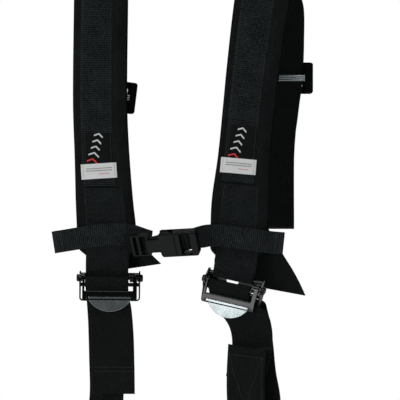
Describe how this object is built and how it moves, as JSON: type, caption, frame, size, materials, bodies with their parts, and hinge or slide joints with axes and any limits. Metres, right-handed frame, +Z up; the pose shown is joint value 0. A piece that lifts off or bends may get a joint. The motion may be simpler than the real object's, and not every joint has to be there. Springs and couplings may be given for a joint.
{
  "type": "racing harness",
  "caption": "Padded shoulder harness with a sternum strap, side-release buckle, tilt-lock adjusters, rear wrap loops, and lap straps with a lever latch and bolt-in end plates.",
  "frame": {"origin": "under the crest of the shoulder pads, midway between the two pads, where the harness hangs over the shoulders", "axes": "+Z up, the harness hangs along -Z; -Y is the front, towards which the wearer faces; +X is to the right as seen from the front"},
  "size_m": [0.303, 0.1311, 0.9163],
  "materials": {
    "pad_cloth": "matte air-mesh nylon",
    "facing_web": "ribbed webbing",
    "webbing": "woven webbing",
    "patch_cloth": "matte woven patch",
    "label_cloth": "plain woven label",
    "black_steel": "black plated, satin",
    "zinc_steel": "zinc plated, satin",
    "black_plastic": "moulded acetal"
  },
  "bodies": {
    "root": {"left_pad": "pad_cloth", "left_pad_facing": "facing_web", "left_pad_base": "webbing", "left_patch": "patch_cloth", "left_label": "label_cloth", "left_adjuster_webbing": "webbing", "left_rear_webbing": "webbing", "left_web_tail": "webbing", "left_adjuster_frame": "black_steel", "left_loop_bar": "black_steel", "left_friction_bar": "black_steel", "left_rivets": "black_steel", "left_lower_webbing": "webbing", "left_lap_webbing": "webbing", "right_pad": "pad_cloth", "right_pad_facing": "facing_web", "right_pad_base": "webbing", "right_patch": "patch_cloth", "right_label": "label_cloth", "right_adjuster_webbing": "webbing", "right_rear_webbing": "webbing", "right_web_tail": "webbing", "right_adjuster_frame": "black_steel", "right_loop_bar": "black_steel", "right_friction_bar": "black_steel", "right_rivets": "black_steel", "right_lower_webbing": "webbing", "right_lap_webbing": "webbing", "lap_tongue": "zinc_steel", "lap_latch_plate": "zinc_steel", "lap_latch_cover": "black_steel", "lap_latch_pin": "zinc_steel"},
    "sternum": {"left_sternum_loop": "webbing", "right_sternum_loop": "webbing", "buckle_plug": "black_plastic"},
    "socket": {"buckle_socket": "black_plastic"},
    "prong_top": {"buckle_prong_top": "black_plastic"},
    "prong_bottom": {"buckle_prong_bottom": "black_plastic"},
    "latch_lever": {"lap_latch_lever": "black_steel"},
    "left_release": {"left_release_yoke": "black_steel", "left_release_tab": "zinc_steel"},
    "left_slide": {"left_rear_slide": "black_steel", "left_slide_bar": "zinc_steel"},
    "left_lap_slide": {"left_lap_slide": "black_steel"},
    "left_anchor": {"left_anchor_plate": "zinc_steel"},
    "right_release": {"right_release_yoke": "black_steel", "right_release_tab": "zinc_steel"},
    "right_slide": {"right_rear_slide": "black_steel", "right_slide_bar": "zinc_steel"},
    "right_lap_slide": {"right_lap_slide": "black_steel"},
    "right_anchor": {"right_anchor_plate": "zinc_steel"}
  },
  "joints": [
    {"name": "sternum_height", "type": "slide", "parent": "root", "child": "sternum", "axis": [0, 0, 1], "range_m": [-0.004, 0.03]},
    {"name": "buckle_release", "type": "slide", "parent": "sternum", "child": "socket", "axis": [0.9604, -0.2728, 0.0558], "range_m": [0, 0.026]},
    {"name": "prong_top_squeeze", "type": "hinge", "parent": "sternum", "child": "prong_top", "pos_m": [-0.01805, -0.06311, -0.33425], "axis": [0.2094, 0.8397, 0.501], "range_deg": [0, 6], "stiffness_Nm_per_rad": 1},
    {"name": "prong_bottom_squeeze", "type": "hinge", "parent": "sternum", "child": "prong_bottom", "pos_m": [-0.0154, -0.05635, -0.34669], "axis": [-0.2094, -0.8397, -0.501], "range_deg": [0, 6], "stiffness_Nm_per_rad": 1},
    {"name": "latch_lever_lift", "type": "hinge", "parent": "root", "child": "latch_lever", "pos_m": [0.068, -0.0469, -0.646], "axis": [0, 0, 1], "range_deg": [0, 70]},
    {"name": "left_release_tilt", "type": "hinge", "parent": "root", "child": "left_release", "pos_m": [-0.067, -0.04, -0.3797], "axis": [-1, 0, 0.0087], "range_deg": [0, 35]},
    {"name": "left_slide_travel", "type": "slide", "parent": "root", "child": "left_slide", "axis": [0, 0, 1], "range_m": [-0.012, 0.012]},
    {"name": "left_lap_slide_travel", "type": "slide", "parent": "root", "child": "left_lap_slide", "axis": [0, 0, 1], "range_m": [-0.008, 0.008]},
    {"name": "left_anchor_swing", "type": "hinge", "parent": "root", "child": "left_anchor", "pos_m": [-0.072, -0.034, -0.842], "axis": [1, 0, 0], "range_deg": [-30, 30]},
    {"name": "right_release_tilt", "type": "hinge", "parent": "root", "child": "right_release", "pos_m": [0.0755, -0.04, -0.3875], "axis": [-0.9354, 0.286, 0.2079], "range_deg": [0, 35]},
    {"name": "right_slide_travel", "type": "slide", "parent": "root", "child": "right_slide", "axis": [0.0785, 0, 0.9969], "range_m": [-0.012, 0.012]},
    {"name": "right_lap_slide_travel", "type": "slide", "parent": "root", "child": "right_lap_slide", "axis": [0, 0, 1], "range_m": [-0.008, 0.008]},
    {"name": "right_anchor_swing", "type": "hinge", "parent": "root", "child": "right_anchor", "pos_m": [0.1, -0.034, -0.842], "axis": [1, 0, 0], "range_deg": [-30, 30]}
  ],
  "couplings": [
    {"joint": "prong_bottom_squeeze", "follows": "prong_top_squeeze", "ratio": 1}
  ]
}
